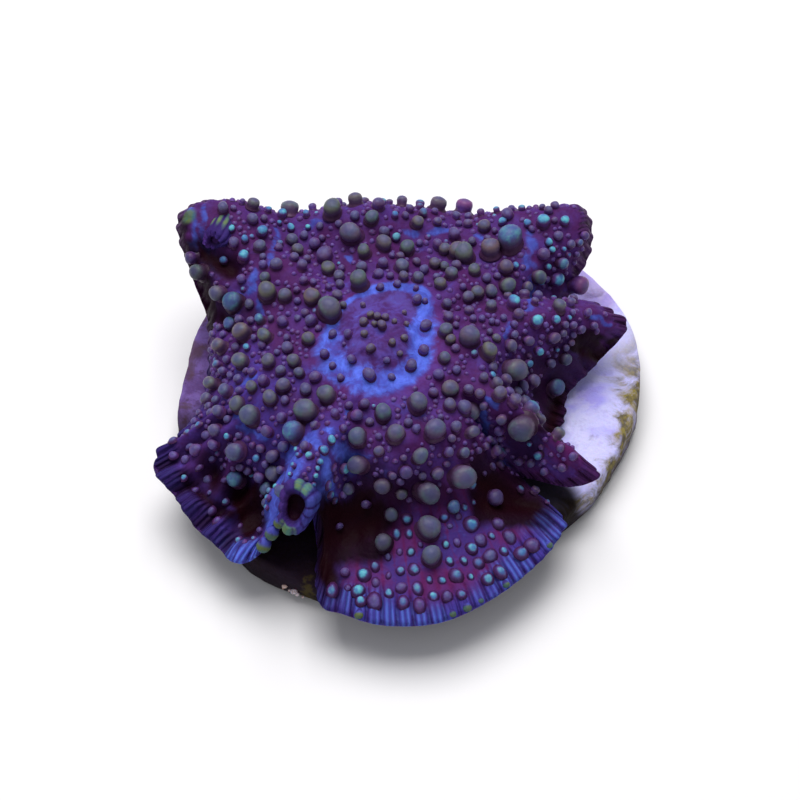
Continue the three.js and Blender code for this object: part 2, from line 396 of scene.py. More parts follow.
# Bare blue streaks in the furrows between folds: start, end (across, away from the front), half width
FURROWS = (
    (-8.9, 8.4, -9.2, 5.4, 0.22), (-10.2, 4.8, -10.6, 3.6, 0.24), (-10.0, 2.8, -9.8, 1.7, 0.22),
    (-6.0, 9.1, -6.7, 8.6, 0.28), (-10.9, -3.1, -10.1, -2.9, 0.3), (-14.7, 9.5, -14.5, 7.4, 0.24),
    (-14.5, 7.4, -13.9, 5.8, 0.2), (-11.2, -5.4, -10.4, -6.4, 0.3), (-6.0, -7.9, -5.9, -8.6, 0.25),
    (-4.0, -6.2, -3.9, -6.6, 0.22), (-3.9, 6.3, -3.8, 5.9, 0.22), (-10.5, -6.5, -9.3, -7.1, 0.22),
    (-6.1, -7.8, -5.7, -8.8, 0.35), (-4.3, -8.8, -3.7, -8.8, 0.5), (-7.4, -9.2, -7.6, -10.4, 0.32),
    (-8.3, -9.7, -8.7, -11.5, 0.4), (-8.7, -11.5, -8.9, -12.6, 0.45), (-5.3, -7.8, -4.7, -7.9, 0.2),
    (-7.3, -9.6, -7.2, -11.4, 0.35), (-5.2, -9.8, -5.6, -11.6, 0.3),
    (8.4, 7.9, 8.6, 7.2, 0.4), (8.2, 6.2, 8.5, 5.8, 0.38), (8.6, 5.0, 8.2, 1.9, 0.24),
    (6.9, 0.8, 6.6, -0.1, 0.18), (-0.1, 8.3, 0.5, 8.1, 0.28), (1.6, 8.3, 2.8, 8.7, 0.22),
    (4.8, 8.2, 5.1, 8.0, 0.25), (5.4, -5.0, 5.9, -5.5, 0.18), (4.7, -5.5, 5.3, -5.8, 0.2),
    (12.2, 2.6, 13.8, 2.5, 0.2), (6.5, -7.0, 6.7, -7.1, 0.2), (-9.0, -11.2, -8.4, -12.5, 0.6),
    (-6.3, -8.0, -5.5, -9.1, 0.35), (-4.1, -8.7, -3.1, -9.1, 0.55), (-7.7, -8.1, -7.1, -10.1, 0.4),
    (-10.7, -13.6, -9.9, -13.2, 0.32), (-5.0, -10.4, -4.7, -10.7, 0.3),
    (-14.0, 9.8, -13.9, 7.8, 0.2), (-13.9, 7.8, -13.2, 5.6, 0.2),
)
# Sharp creases in the flesh, with painted shade at the bottom: start, end, half width, depth
CREASES = (
    (12.0, 0.9, 14.6, 1.9, 0.26, 0.3), (-13.9, 6.9, -11.9, 5.4, 0.8, 0.9), (-15.4, 6.6, -13.9, 4.2, 0.5, 0.3),
    (-12.6, 2.6, -11.9, 1.6, 0.4, 0.3), (-11.3, -9.0, -10.5, -12.1, 0.75, 0.9),
    (-12.7, -7.7, -12.9, -8.9, 0.6, 0.5), (-13.7, -9.1, -12.4, -10.5, 0.4, 0.5),
    (-14.9, -8.1, -13.5, -9.6, 0.3, 0.3), (-10.2, -9.1, -9.8, -11.4, 0.5, 0.6),
    (10.5, -1.0, 9.6, -5.0, 0.5, 0.3), (5.0, -9.0, 7.4, -9.4, 0.8, 0.5), (5.2, -10.3, 8.3, -10.0, 0.8, 0.4),
    (-5.4, -13.0, -2.2, -11.8, 0.9, 0.4), (-5.4, -14.3, -5.0, -16.0, 0.7, 0.0),
    (-4.8, -11.6, -2.9, -11.0, 0.6, 0.2),
)
# Places darkened by the folds that overhang them: start, end, half width, how dark
SHADES = (
    (-15.5, 9.0, -15.5, 7.9, 0.4, 0.8), (-15.3, 7.4, -13.7, 4.5, 0.7, 0.85),
    (-14.1, 6.9, -12.1, 5.5, 0.7, 0.75),
    (-13.2, 3.5, -10.4, 2.1, 0.5, 0.6), (-13.7, 4.1, -13.3, 2.8, 0.5, 0.9), (11.4, 1.0, 14.8, 1.9, 0.4, 0.9),
    (10.4, 0.3, 14.2, 1.4, 0.9, 0.5), (10.3, -0.6, 13.1, 0.5, 0.9, 0.6), (9.5, -2.0, 11.3, -1.0, 1.0, 0.8),
    (8.3, -0.8, 9.9, -0.8, 0.6, 0.6), (9.3, -6.0, 10.7, -2.4, 0.9, 0.85), (6.9, -2.4, 9.2, -2.5, 0.6, 0.4),
    (-5.0, -11.5, -2.6, -10.7, 0.7, 0.9), (-5.1, -12.2, -1.9, -11.9, 1.1, 0.95),
    (-5.5, -13.3, -2.0, -13.5, 1.1, 0.95), (-5.4, -14.6, -5.2, -15.3, 0.9, 0.9),
    (-2.5, -10.3, -0.5, -11.1, 0.8, 0.7), (-11.0, -9.1, -10.2, -11.7, 0.7, 0.9),
    (-12.5, -10.1, -11.7, -10.8, 0.5, 0.8), (-10.0, -9.2, -9.6, -11.8, 0.5, 0.8),
    (-13.5, -7.5, -11.9, -9.0, 0.5, 0.6), (-14.5, -8.9, -12.9, -10.9, 0.5, 0.5),
    (4.9, -9.1, 7.4, -8.3, 0.8, 0.9), (5.2, -9.8, 8.6, -10.2, 1.2, 0.97), (5.1, -10.9, 9.2, -11.2, 0.9, 0.95),
    (0.1, -10.2, 2.6, -10.8, 0.7, 0.6), (-1.0, -11.8, -0.2, -12.1, 0.6, 0.6),
    (9.6, -2.6, 10.2, -5.6, 0.8, 0.8),
    (4.6, -8.2, 6.4, -7.7, 0.6, 0.7), (7.2, -6.5, 8.6, -7.0, 0.5, 0.6),
)
# Outline of the blue ring around the mouth: bearing, inner reach, outer reach
RING = (
    (19, 1.5, 4.2), (54, 3.7, 5.2), (68, 4.0, 4.9), (95, 3.5, 4.4), (128, 3.4, 3.9), (150, 3.1, 3.8),
    (175, 2.6, 4.4), (200, 2.3, 5.1), (225, 2.6, 4.9), (250, 2.1, 4.9), (287, 2.2, 4.5), (310, 2.4, 4.1),
    (340, 1.7, 3.9),
)


def spline(before, start, end, after, part):
    """A point on the smooth curve between start and end."""
    leave = (end - before) / 2
    arrive = (after - start) / 2
    return ((2 * start - 2 * end + leave + arrive) * part ** 3
            + (3 * end - 3 * start - 2 * leave - arrive) * part ** 2 + leave * part + start)


def closed_curve(points, turn):
    """Points on a smooth closed curve, at turns from 0 to 1."""
    points = np.asarray(points, float)
    count = len(points)
    place = (turn % 1) * count
    first = np.floor(place).astype(int) % count
    part = (place - np.floor(place))[:, None]
    return spline(points[(first - 1) % count], points[first], points[(first + 1) % count],
                  points[(first + 2) % count], part)


def around(bearing, reach, height):
    angle = math.radians(bearing)
    return (MOUTH[0] + reach * math.cos(angle), MOUTH[1] + reach * math.sin(angle), TOP + height)


def mixed(start, end, part):
    return start + (end - start) * part


def oral_profile(bearing, shoulder, crest, crest_height, margin, margin_height):
    """One station of the oral skin, from the mouth out to the margin."""
    return [
        around(bearing, 0.01, MOUTH_HEIGHT), around(bearing, 1.5, MOUTH_HEIGHT - 0.15),
        around(bearing, 0.72 * RING_RADIUS, RING_HEIGHT - 0.1),
        around(bearing, 1.1 * RING_RADIUS, mixed(RING_HEIGHT, shoulder, 0.25)),
        around(bearing, 6, mixed(RING_HEIGHT, shoulder, 0.5) - 0.1),
        around(bearing, mixed(3.4, crest, 0.62), shoulder),
        around(bearing, crest, crest_height), around(bearing, margin, margin_height),
    ]


def under_profile(bearing, shoulder, crest, crest_height, margin, margin_height):
    """One station of the underside, from the margin in to the foot; no lobe is sunk in the disc."""
    return [
        around(bearing, margin - 0.05, max(CLEARANCE, margin_height - 0.3)),
        around(bearing, margin - 0.4, max(CLEARANCE, margin_height - 0.5)),
        around(bearing, mixed(crest, margin, 0.6), max(CLEARANCE, margin_height - 0.8 * FLESH)),
        around(bearing, min(0.92 * crest, FOOT_RADIUS + 1.2), max(CLEARANCE, crest_height - 2 * FLESH)),
        around(bearing, min(0.86 * crest, FOOT_RADIUS), SOLE), around(0, 0, SOLE),
    ]


ORAL_RINGS = list(zip(*(oral_profile(*station) for station in STATIONS)))
UNDER_RINGS = list(zip(*(under_profile(*station) for station in STATIONS)))


def skin_base(turn, over):
    """The smooth oral skin; over runs from 0 at the mouth to 1 at the margin."""
    rings = [closed_curve(ring, turn) for ring in ORAL_RINGS]
    rings = np.array([2 * rings[0] - rings[1], *rings, 2 * rings[-1] - rings[-2]])
    place = np.clip(over, 0, 1) * (len(rings) - 3)
    first = np.minimum(np.floor(place).astype(int), len(rings) - 4)
    part = (place - first)[:, None]
    each = np.arange(len(turn))
    return spline(rings[first, each], rings[first + 1, each], rings[first + 2, each],
                  rings[first + 3, each], part)


def skin_normal(turn, over):
    along = skin_base(turn + 0.002, over) - skin_base(turn - 0.002, over)
    inner = np.clip(over - 0.015, 0.02, 0.97)
    outward = skin_base(turn, inner + 0.03) - skin_base(turn, inner)
    normal = np.cross(outward, along)
    return normal / (np.linalg.norm(normal, axis=1)[:, None] + 1e-9)


def skin_inset(turn, over):
    """How much skin lies between a point and the margin."""
    last = skin_base(turn, over)
    length = np.zeros(len(turn))
    for share in np.arange(1, 9) / 8:
        after = skin_base(turn, over + (1 - over) * share)
        length += np.linalg.norm(after - last, axis=1)
        last = after
    return length


# ribs are counted along the margin, so that they are as wide on a long lobe as in a short bay
margin_turn = np.linspace(0, 1, 4001)
margin_line = skin_base(margin_turn, np.ones(len(margin_turn)))
margin_length = np.concatenate([[0], np.cumsum(np.linalg.norm(np.diff(margin_line, axis=0), axis=1))])
RIBS = 2 * round(margin_length[-1] / RIB_WIDTH / 2)
margin_ribs = margin_length / margin_length[-1] * RIBS


def rib_number(turn):
    return np.interp(turn % 1, margin_turn, margin_ribs)


def rib_shape(turn, points):
    """1 along the back of each rib of the margin, 0 in the grooves between."""
    wander = 0.16 * rough(points, 1.6, 11)
    return np.abs(np.sin(math.pi * (rib_number(turn) + wander))) ** 0.6


def smooth(values, low_end, high_end):
    """0 below the low end, 1 above the high end."""
    part = np.clip((values - low_end) / (high_end - low_end), 0, 1)
    return part * part * (3 - 2 * part)


def band(values, rise_start, rise_end, fall_start, fall_end):
    """1 between the rise and the fall, 0 outside them."""
    return smooth(values, rise_start, rise_end) * (1 - smooth(values, fall_start, fall_end))


def bump_at(values, centre, width):
    """1 at the centre, falling away on both sides."""
    return np.exp(-((values - centre) / width) ** 2)


def polar(points):
    """Bearing in degrees and reach from the mouth."""
    away = points[:, :2] - MOUTH
    return np.degrees(np.arctan2(away[:, 1], away[:, 0])) % 360, np.hypot(away[:, 0], away[:, 1])


def gap(points, x0, y0, x1, y1):
    """How far each point is, seen from above, from the line between two places."""
    line = np.array([x1 - x0, y1 - y0])
    share = np.clip(((points[:, :2] - (x0, y0)) @ line) / (line @ line), 0, 1)
    return np.linalg.norm(points[:, :2] - (x0, y0) - share[:, None] * line, axis=1)


def on_flap(points):
    """1 on the wide front flap, 0 elsewhere."""
    bearing, reach = polar(points)
    return band(bearing, 253, 261, 317, 322) * smooth(reach, 9.6, 11.6)


def ruffles(turn, points):
    """The soft folds of the left flap: 1 on their crests, -1 in their valleys, 0 elsewhere."""
    bearing, reach = polar(points)
    there = band(bearing, 194, 201, 232, 238) * smooth(reach, 9.5, 12.5)
    return there * np.cos(2 * math.pi * rib_number(turn) / 2.4 + 1.5 * rough(points, 2.5, 12))


def skin_relief(turn, over, points):
    """How far the real skin stands out from the smooth one: swells, wrinkles, creases, ribs, mouth folds."""
    bearing, reach = polar(points)
    inset = skin_inset(turn, over)
    calm = smooth(reach, 1.5, 5.0)
    flat = 1 - 0.75 * on_flap(points)
    relief = (0.34 * rough(points, 3.4, 5) + 0.16 * rough(points, 1.3, 6)) * calm * flat
    relief += 0.06 * rough(points, 0.6, 7)
    ribbed = 1 - smooth(inset, 1.0, 2.6)
    relief = relief * (1 - 0.6 * ribbed) + ribbed * (rib_shape(turn, points) - 0.7) * 0.24
    folds = band(reach, 0.3, 1.0, 1.6, 3.6)
    relief += 0.03 * folds * np.cos(np.radians(bearing) * 11 + 7.0 * rough(points, 0.9, 9))
    relief -= 0.4 * bump_at(reach, 0, 0.4)
    relief += 0.42 * ruffles(turn, points)
    for *line, width, depth in CREASES:
        relief -= depth * bump_at(gap(points, *line), 0, width)
    return relief


def skin_point(turn, over):
    """A point of the real skin; the ends of the ribs stand out a little, so the margin is scalloped."""
    base = skin_base(turn, over)
    outward = (base - (*MOUTH, 0)) * (1, 1, 0)
    outward /= np.linalg.norm(outward, axis=1)[:, None] + 1e-9
    scallop = 0.26 * smooth(over, 0.93, 1.0) * (rib_shape(turn, base) - 0.7)
    points = base + skin_normal(turn, over) * skin_relief(turn, over, base)[:, None]
    points += outward * scallop[:, None]
    # even the deepest crease leaves some flesh above the disc
    points[:, 2] = np.maximum(points[:, 2], TOP + THINNEST)
    return points


ORAL_SHARE = 0.88
AROUND = 840
ROWS = 118


def even_turn(turn):
    """Spreads the turns so that long lobes get their share of the mesh."""
    length = 0.4 * margin_turn + 0.6 * margin_length / margin_length[-1]
    return np.interp(turn, length, margin_turn)


def polyp_place(turn, row):
    """Mouth to margin over the oral skin, then back under the lobes to the foot."""
    turn = even_turn(turn)
    points = np.zeros((len(turn), 3))
    oral = row <= ORAL_SHARE + 1e-6
    points[oral] = skin_point(turn[oral], np.minimum(row[oral] / ORAL_SHARE, 1))
    under = ~oral
    margin = skin_point(turn[under], np.ones(under.sum()))
    rings = np.array([margin] + [closed_curve(ring, turn[under]) for ring in UNDER_RINGS])
    place = (row[under] - ORAL_SHARE) / (1 - ORAL_SHARE) * (len(rings) - 1)
    first = np.minimum(np.floor(place).astype(int), len(rings) - 2)
    part = (place - first)[:, None]
    each = np.arange(under.sum())
    points[under] = rings[first, each] * (1 - part) + rings[first + 1, each] * part
    return points


def frayed(points, by, scale, seed):
    """The points shifted about, so that what is drawn by them gets an uneven border."""
    shifted = points.copy()
    for axis in (0, 1):
        shifted[:, axis] += by * rough(points, scale, seed + axis)
    return shifted


def strongest(table, points, strength):
    """The strongest mark that the lines of a table leave at each point."""
    return np.max([strength(gap(points, *row[:4]), *row[4:]) for row in table], axis=0)


def streaks(points):
    """1 along the bare blue furrows, with frayed edges."""
    return strongest(FURROWS, frayed(points, 0.30, 0.7, 31),
                     lambda away, width: bump_at(away, 0, 1.25 * width))


def hollows(points):
    """1 at the bottom of the creases, where the painted shade goes."""
    return strongest(CREASES, points, lambda away, width, _: bump_at(away, 0, 1.1 * width))


def shade(points):
    """How dark the overhanging folds make each place, with soft uneven borders."""
    return strongest(SHADES, frayed(points, 0.5, 1.2, 33),
                     lambda away, width, dark: dark * (1 - smooth(away, 0.45 * width, 1.5 * width)))


def ring_zone(points):
    """Share of the blue ring, share of the mouth inside it, and how far outside the ring a point lies."""
    bearing, reach = polar(points)
    inner, outer = follow(RING, bearing, 360)
    part = (reach - inner) / (outer - inner)
    ring = np.clip(1.15 - np.abs(2 * part - 1) ** 1.7, 0, 1)
    return ring, 1 - smooth(part, 0.0, 0.45), reach - outer


skin_bm, skin_turn, skin_row = laid_ball(AROUND, ROWS, polyp_place)
skin_turn = even_turn(skin_turn)
skin_rest = np.array([v.co for v in skin_bm.verts])

flesh = Finish("purple flesh", Subsurface_Weight=0.1, Subsurface_Scale=0.0006,
               Subsurface_Radius=(0.7, 0.3, 1.0), Specular_IOR_Level=0.03)
rib_value = flesh.attribute("rib")
flap_value = flesh.attribute("flap")
edge_value = flesh.attribute("edge")
under_value = flesh.attribute("under")
shade_value = flesh.attribute("shade")
rib_angle = flesh.node("ShaderNodeMath", {"operation": "ARCTAN2"}, flesh.attribute("rib_sine"),
                       flesh.attribute("rib_cosine"))
patch = flesh.noise(420, 4, 0.6, 0.3)
broad = flesh.noise(170, 2, 0.5)
speck = flesh.noise(2600, 3, 0.6)
fibre = flesh.noise(1100, 4, 0.65, 0.5)
pleat = 0.5 + 0.5 * flesh.node("ShaderNodeMath", {"operation": "COSINE"}, rib_angle * 3 + (fibre - 0.5) * 2.5)
warm_purple = flesh.mix(patch.step(0.36, 0.66), (92, 42, 108), (102, 62, 150))
cool_purple = flesh.mix(patch.step(0.36, 0.66), (62, 42, 110), (80, 60, 150))
purple = flesh.mix((flesh.attribute("cool") + (patch - 0.5) * 1.2).clamped(), warm_purple, cool_purple)
purple = flesh.mix((speck.step(0.45, 0.75)) * 0.5, purple, (76, 34, 90))
magenta = flesh.mix(patch.step(0.4, 0.62), (112, 50, 128), (84, 60, 150))
magenta = flesh.mix((rib_value + (patch - 0.5) * 2.2).step(0.1, 0.8), (114, 40, 108), magenta)
purple = flesh.mix(flap_value, purple, magenta)
blue = flesh.mix(fibre.step(0.35, 0.7), (72, 82, 184), (94, 118, 234))
ring_mask = (flesh.attribute("ring") + (fibre - 0.5) * 1.6 + (patch - 0.5) * 1.2).step(0.1, 1.0)
furrow_mask = (flesh.attribute("furrow") + (fibre - 0.5) * 1.1 + (speck - 0.5) * 0.4).step(0.30, 0.95) * 0.92
mouth_colour = flesh.mix(fibre.step(0.38, 0.62), (74, 42, 104), (86, 66, 146))
skin_colour = flesh.mix(flesh.attribute("mouth"), purple, mouth_colour)
skin_colour = flesh.mix((ring_mask + furrow_mask).clamped(), skin_colour, blue)
skin_colour = flesh.mix((shade_value * (0.85 + patch * 0.5)).clamped(), skin_colour, (22, 5, 12))
edge_zone = flesh.attribute("inset") - 0.7 * flap_value + (patch - 0.5) * 3.0 + (broad - 0.5) * 5
edge_mask = (1 - (edge_zone / (0.45 + 0.55 * edge_value)).step(0.6, 2.1)) * (1 - under_value)
rib_bright = flesh.mix(flesh.noise(260, 2, 0.5).step(0.38, 0.54), (86, 78, 192), (104, 134, 250))
rib_bright = flesh.mix(pleat.step(0.0, 0.7), (76, 76, 186), rib_bright)
rib_blue = flesh.mix((rib_value + (fibre - 0.5) * 0.9).step(0.1, 0.8), (56, 38, 118), rib_bright)
rib_blue = flesh.mix(edge_value.step(0.5, 1.0), (48, 34, 96), rib_blue)
rib_wine = flesh.mix(rib_value.step(0.3, 0.85), (52, 22, 56), (88, 46, 104))
rib_colour = flesh.mix(edge_value.step(0.2, 0.5), rib_wine, rib_blue)
skin_colour = flesh.mix(edge_mask * (0.9 - 0.6 * shade_value), skin_colour, rib_colour)
column = flesh.mix(patch.step(0.4, 0.6), (44, 30, 64), (62, 46, 90))
skin_colour = flesh.mix(under_value, skin_colour, column)
lime = flesh.mix(fibre.step(0.35, 0.65), (80, 132, 118), (112, 138, 76))
green_mask = (flesh.attribute("green") + (fibre - 0.5) * 0.5).step(0.25, 0.85) * 0.85
skin_colour = flesh.mix(green_mask, skin_colour, lime)
# Painted shade: steep flanks, turned away from the overhead lamp, are painted darker.
skin_colour = flesh.mix(flesh.attribute("steep_shade") * 0.42, skin_colour, (34, 13, 40))
# Painted shade: the bottoms of the creases, the valleys of the left flap and the hollows of the horn ends are
# painted near-black red.
skin_colour = flesh.mix(flesh.attribute("hollow"), skin_colour, (30, 6, 13))
flesh.set("Base Color", skin_colour)
flesh.set("Roughness", 0.36 + speck * 0.25)
flesh.bump(fibre * 0.6 + speck * 0.3 + edge_mask * pleat * 0.9, 0.00025, 0.7)


def coolness(points):
    """Where the flesh leans to blue: low on the left and around the front horn."""
    bearing, reach = polar(points)
    left = band(bearing, 165, 200, 250, 262) * smooth(reach, 3, 9)
    return np.clip(0.1 + 0.9 * left * (1 - 0.4 * bump_at(bearing, 213, 14) * smooth(reach, 9, 12)), 0, 1)


def edge_blue(points):
    """1 where the ribs of the margin are blue, 0 where they are wine red."""
    bearing, _ = polar(points)
    # Painted shade: the ribs around bearing 255, under the front horn, are painted darker; below 226 the
    # darker navy is the left flap's own.
    navy_and_painted_shade = 0.5 * (1 - smooth(bearing, 226, 236)) + 0.4 * bump_at(bearing, 255, 8)
    return 0.15 + 0.85 * band(bearing, 160, 180, 320, 326) * (1 - navy_and_painted_shade)


over_rest = np.clip(skin_row / ORAL_SHARE, 0, 1)
under_rest = smooth(skin_row, ORAL_SHARE + 0.012, ORAL_SHARE + 0.03)
bearing_rest, reach_rest = polar(skin_rest)
ring_rest, mouth_rest, _ = ring_zone(skin_rest)
skin_bm.normal_update()
steep_rest = 1 - smooth(np.array([v.normal.z for v in skin_bm.verts]), -0.1, 0.5)
skin_mesh = finished(skin_bm, "polyp_skin", flesh.material, "polyp")
on_tongue = bump_at(bearing_rest, 330, 4.5) * smooth(reach_rest, 11, 13)
on_green_spot = bump_at(np.hypot(skin_rest[:, 0] + 14.9, skin_rest[:, 1] - 9.1), 0, 0.6)
valleys = np.clip(-ruffles(skin_turn, skin_rest), 0, 1)
skin_numbers = {
    "inset": skin_inset(skin_turn, over_rest),
    "ring": np.where(under_rest > 0.5, 0, ring_rest),
    "mouth": np.where(under_rest > 0.5, 0, mouth_rest),
    "furrow": streaks(skin_rest) * (1 - under_rest),
    "rib": rib_shape(skin_turn, skin_base(skin_turn, over_rest)),
    "rib_sine": np.sin(2 * math.pi * rib_number(skin_turn)),
    "rib_cosine": np.cos(2 * math.pi * rib_number(skin_turn)),
    "flap": np.maximum(on_flap(skin_rest), 0.8 * on_tongue),
    "cool": coolness(skin_rest),
    "edge": edge_blue(skin_rest),
    "under": under_rest,
    "green": on_green_spot * (1 - under_rest),
    # painted shade in the creases and in the valleys of the left flap's ruffles
    "hollow": np.maximum(0.92 * hollows(skin_rest), 0.7 * valleys) * (1 - under_rest),
    "shade": shade(skin_rest),
    # painted shade on the steep flanks
    "steep_shade": steep_rest * smooth(reach_rest, 3.0, 6.0) * (1 - 0.7 * coolness(skin_rest)),
}
for number, values in skin_numbers.items():
    store(skin_mesh, number, values)


# ---- Rolled horn ends ----
# Where the front and back-left horns end, the margin of the same flesh is rolled into a short ribbed
# tube, grown into the skin behind it. Some of the tips around its mouth are yellow-green, and the hollow
# is painted near-black red as shade.
# from the floor of the hollow over the lip to the closed back: row, reach (1 hole, 2 outside), depth
TUBE_STOPS = (
    (0, 0, -0.6), (0.16, 0.75, -0.55), (0.30, 1.0, -0.3), (0.40, 1.05, 0.0), (0.50, 1.5, 0.28),
    (0.60, 2.0, 0.05), (0.72, 2.05, -0.5), (0.90, 1.9, -1.0), (1.0, 0, -1.1),
)


def tube_place(centre, axis, up, radius, hole, back, ribs):
    """A function that lays a ball as a closed tube whose hollow end looks along the axis."""
    axis = Vector(axis).normalized()
    side = (Vector((1, 0, 0)) - axis * axis.x).normalized()
    tube_frame = np.array([side, axis.cross(side), axis])

    def place(turn, row):
        angle = turn * 2 * math.pi
        share, depth = follow(TUBE_STOPS, row)
        depth = np.where((row < 0.45) | (depth > 0), depth, depth * back)
        reach = np.where(share <= 1, share * hole, hole + (share - 1) * (radius - hole))
        lip = band(row, 0.36, 0.5, 0.78, 0.95)
        wave = np.abs(np.sin(angle * ribs / 2)) ** 0.7 - 0.6
        uneven = 0.14 * np.sin(2 * angle + centre[0]) + 0.08 * np.sin(3 * angle + 1.0)
        reach = reach * (1 + uneven * smooth(row, 0.1, 0.4) + 0.09 * wave * lip)
        local = turned(turn, reach, depth + 0.12 * wave * lip + 0.12 * lip * np.sin(angle * 2 + 0.7))
        return local * (1, up, 1) @ tube_frame + np.asarray(centre)

    return place


# name, centre, axis, stretch, outer radius, hole radius, length behind the lip, ribs, bluish, green side
HORN_ENDS = (
    ("front_horn_end", (-7.15, -12.65, 8.45), (-0.20, -0.66, 0.72), 1.25, 1.28, 0.60, 2.6, 11, 1.0, None),
    ("back_horn_end", (-13.1, 7.4, 10.25), (-0.33, -0.90, 0.12), 0.85, 0.95, 0.3, 2.4, 13, 0.3, 95),
)
for name, centre, axis, up, radius, hole, back, ribs, cool, green_side in HORN_ENDS:
    place = tube_place(centre, axis, up, radius, hole, back, ribs)
    tube_bm, tube_turn, tube_row = laid_ball(130, 52, place)
    count = len(tube_bm.verts)
    tube_mesh = finished(tube_bm, name, flesh.material, "polyp")
    angle = tube_turn * 2 * math.pi
    lip = band(tube_row, 0.44, 0.5, 0.62, 0.74)
    wave = np.abs(np.sin(tube_turn * math.pi * ribs)) ** 0.7
    if green_side is not None:
        green = 0.66 * wave * smooth(np.cos(angle - math.radians(green_side)), 0.2, 0.9)
        green = green * band(tube_row, 0.58, 0.72, 0.86, 0.92)
    else:
        green = lip * (0.4 + 0.5 * wave) * smooth(np.cos(2 * (angle - math.radians(65))), 0.1, 1.0)
    numbers = {
        "inset": np.full(count, 0.6), "furrow": 0.5 * cool * smooth(tube_row, 0.55, 0.7), "rib": wave,
        "cool": np.full(count, cool), "green": green,
        "edge": 0.5 + 0.17 * cool * smooth(np.cos(angle), -0.7, 0.7),
        # painted shade: near-black red inside the hollow of the tube
        "hollow": 0.97 - 0.97 * smooth(tube_row, 0.34, 0.50), "rib_cosine": np.ones(count),
    }
    for number in skin_numbers:
        store(tube_mesh, number, numbers.get(number, np.zeros(count)))


# ---- Vesicles ----
# The bubbles of the oral skin: hollow outgrowths on short necks, grey-olive where the light reaches
# them, some with a turquoise cap that is partly their own colour and partly a painted highlight; their
# tops carry a painted bluish sheen. The marked ones stand where they grew; the rest fill in between.
# bearing, reach, radius
OLIVE_VESICLES = (
    (0, 5.8, 0.75), (2, 7.7, 0.3), (6, 4.3, 0.5), (30, 8.5, 0.45), (30, 9.8, 0.55), (30, 12.3, 0.5),
    (32, 6.8, 0.4), (32, 7.6, 0.45), (36, 10.4, 0.5), (45, 10.5, 0.7), (47, 5.9, 0.45), (52, 9.2, 0.75),
    (56, 7.6, 0.35), (56, 9.1, 0.6), (61, 7.4, 0.4), (61, 8.9, 0.45), (72, 12.1, 0.6), (76, 9.9, 0.45),
    (77, 5.9, 0.5), (77, 7.7, 0.5), (89, 7.7, 0.55), (94, 9.6, 0.5), (99, 7.2, 0.45), (99, 11.1, 0.5),
    (103, 8.8, 0.75), (108, 4.6, 0.65), (108, 10.8, 0.65), (120, 12.8, 0.65), (121, 7, 0.5),
    (127, 9.5, 0.4), (129, 14, 0.45), (135, 3.6, 0.25), (144, 5.7, 0.6), (149, 4, 0.8), (151, 7.4, 0.5),
    (153, 8.6, 0.65), (153, 13.9, 0.6), (157, 12, 0.55), (171, 9.3, 0.6), (174, 10.7, 0.5),
    (175, 7.7, 0.5), (179, 4.8, 0.45), (184, 9.2, 0.6), (186, 11.3, 0.5), (190, 7.5, 0.5),
    (195, 5.9, 0.45), (200, 9, 0.4), (203, 10.2, 0.55), (207, 7.2, 0.5), (209, 8.3, 0.5), (210, 9.8, 0.7),
    (215, 11.3, 0.6), (228, 7.1, 0.75), (229, 10.7, 0.6), (232, 5.5, 0.65), (258, 9.4, 0.4),
    (259, 7.4, 0.65), (261, 8.7, 0.65), (271, 9.6, 0.55), (271, 12.5, 0.6), (272, 5.7, 0.6),
    (274, 10.9, 0.45), (278, 7.3, 0.6), (278, 10, 0.4), (284, 13.8, 0.65), (285, 12, 0.8), (287, 8.6, 0.55),
    (287, 10.1, 0.75), (295, 5.5, 0.65), (297, 7.6, 0.7), (301, 10, 0.9), (313, 8.6, 0.45), (321, 5.8, 0.6),
    (324, 7.4, 0.7), (329, 10.9, 0.9), (332, 8.8, 0.45), (353, 7.1, 0.55), (353, 8.8, 0.8), (358, 4.6, 0.35),
)
PURPLE_VESICLES = (
    (11, 7.9, 0.2), (12, 7.6, 0.25), (14, 14.4, 0.3), (15, 7, 0.25), (16, 6.4, 0.25), (34, 13.3, 0.45),
    (34, 16.7, 0.3), (42, 13.8, 0.25), (50, 13.6, 0.45), (61, 10.3, 0.45), (65, 9, 0.35), (80, 10.9, 0.3),
    (92, 5.1, 0.35), (114, 6.6, 0.25), (118, 8.1, 0.6), (119, 9.4, 0.4), (130, 5.5, 0.25), (138, 7, 0.3),
    (143, 10, 0.3), (150, 6.5, 0.25), (150, 15.2, 0.45), (151, 10.8, 0.35), (166, 6.8, 0.4),
    (168, 4.3, 0.25), (176, 6.3, 0.25), (179, 7.9, 0.3), (198, 11.8, 0.35), (200, 8.2, 0.4),
    (203, 12.7, 0.35), (206, 13.5, 0.45), (206, 14.5, 0.3), (208, 12.3, 0.35), (213, 5.1, 0.4),
    (219, 9.5, 0.4), (220, 8.4, 0.35), (244, 6.7, 0.3), (254, 6.1, 0.4), (257, 11.6, 0.25),
    (261, 14.5, 0.3), (265, 10.3, 0.3), (280, 9.1, 0.45), (310, 11.9, 0.55), (324, 4.7, 0.4),
    (325, 9.3, 0.3), (326, 9.5, 0.35), (327, 13.1, 0.3), (329, 14.1, 0.3), (331, 14.5, 0.3), (335, 5.5, 0.3),
)
